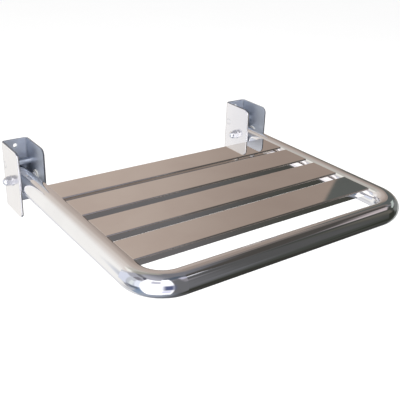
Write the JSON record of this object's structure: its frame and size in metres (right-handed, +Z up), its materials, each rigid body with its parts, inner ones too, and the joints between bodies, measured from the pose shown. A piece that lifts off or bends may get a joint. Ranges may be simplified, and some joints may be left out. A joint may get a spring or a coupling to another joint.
{
  "type": "fold down wall seat",
  "caption": "Fold-down wall seat: slatted seat in a bent round tube frame, hinged at the rear in two channel wall brackets.",
  "frame": {"origin": "on the wall plane, at the centre of the four wall screw holes, level with the pivots", "axes": "+X along the wall to the right as seen facing it, +Y into the wall, +Z up"},
  "size_m": [0.48, 0.408, 0.102],
  "materials": {
    "polished_stainless": "mirror polished stainless steel tube",
    "slat_stainless": "polished stainless steel sheet",
    "bracket_stainless": "polished stainless steel plate",
    "fastener_stainless": "bright stainless steel",
    "nylon": "white nylon",
    "plug_plastic": "black polyethylene"
  },
  "bodies": {
    "wall_brackets": {"left_wall_bracket": "bracket_stainless", "left_stop_pin": "bracket_stainless", "left_pivot_bolt": "fastener_stainless", "left_cap_nut": "fastener_stainless", "left_nut_washer": "fastener_stainless", "left_head_washer": "fastener_stainless", "left_outer_spacer": "nylon", "left_inner_spacer": "nylon", "right_wall_bracket": "bracket_stainless", "right_stop_pin": "bracket_stainless", "right_pivot_bolt": "fastener_stainless", "right_cap_nut": "fastener_stainless", "right_nut_washer": "fastener_stainless", "right_head_washer": "fastener_stainless", "right_outer_spacer": "nylon", "right_inner_spacer": "nylon"},
    "seat": {"seat_frame_tube": "polished_stainless", "slat_1": "slat_stainless", "slat_2": "slat_stainless", "slat_3": "slat_stainless", "slat_4": "slat_stainless", "left_pivot_sleeve": "fastener_stainless", "left_tube_plug": "plug_plastic", "right_pivot_sleeve": "fastener_stainless", "right_tube_plug": "plug_plastic"}
  },
  "joints": [
    {"name": "seat_fold", "type": "hinge", "parent": "wall_brackets", "child": "seat", "pos_m": [0, -0.034, 0], "axis": [-1, 0, 0], "range_deg": [0, 93]}
  ]
}
